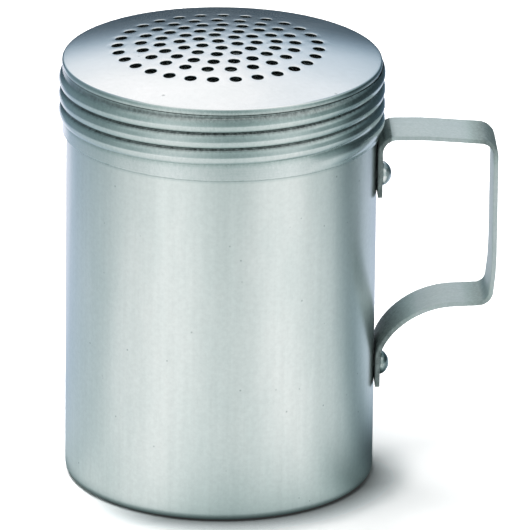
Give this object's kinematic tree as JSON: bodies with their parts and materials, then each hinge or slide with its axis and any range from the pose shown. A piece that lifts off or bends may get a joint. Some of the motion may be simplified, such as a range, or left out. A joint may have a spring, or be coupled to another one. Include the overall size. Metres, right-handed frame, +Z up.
{
  "type": "spice shaker dredge",
  "caption": "Aluminium spice dredge: a drawn round canister, a domed screw lid punched with rings of holes, and a bent strap handle held by rivets.",
  "frame": {"origin": "centre of the cup's flat base, on the surface it stands on", "axes": "+Z up along the cup's axis, +X from the axis towards the handle's grip"},
  "size_m": [0.0937, 0.0696, 0.0967],
  "materials": {
    "cup_aluminium": "satin spun aluminium with fine draw lines",
    "lid_aluminium": "satin spun aluminium, brighter dome",
    "strap_aluminium": "rolled strip, smooth faces and slit edges",
    "rivet_aluminium": "upset round head, semi-bright"
  },
  "bodies": {
    "cup_body": {"cup": "cup_aluminium", "handle_strap": "strap_aluminium", "upper_rivet": "rivet_aluminium", "lower_rivet": "rivet_aluminium"},
    "lid_body": {"lid": "lid_aluminium"}
  },
  "joints": [
    {"name": "lid_lift", "type": "slide", "parent": "cup_body", "child": "lid_body", "axis": [0, 0, 1], "range_m": [0, 0.045]}
  ]
}
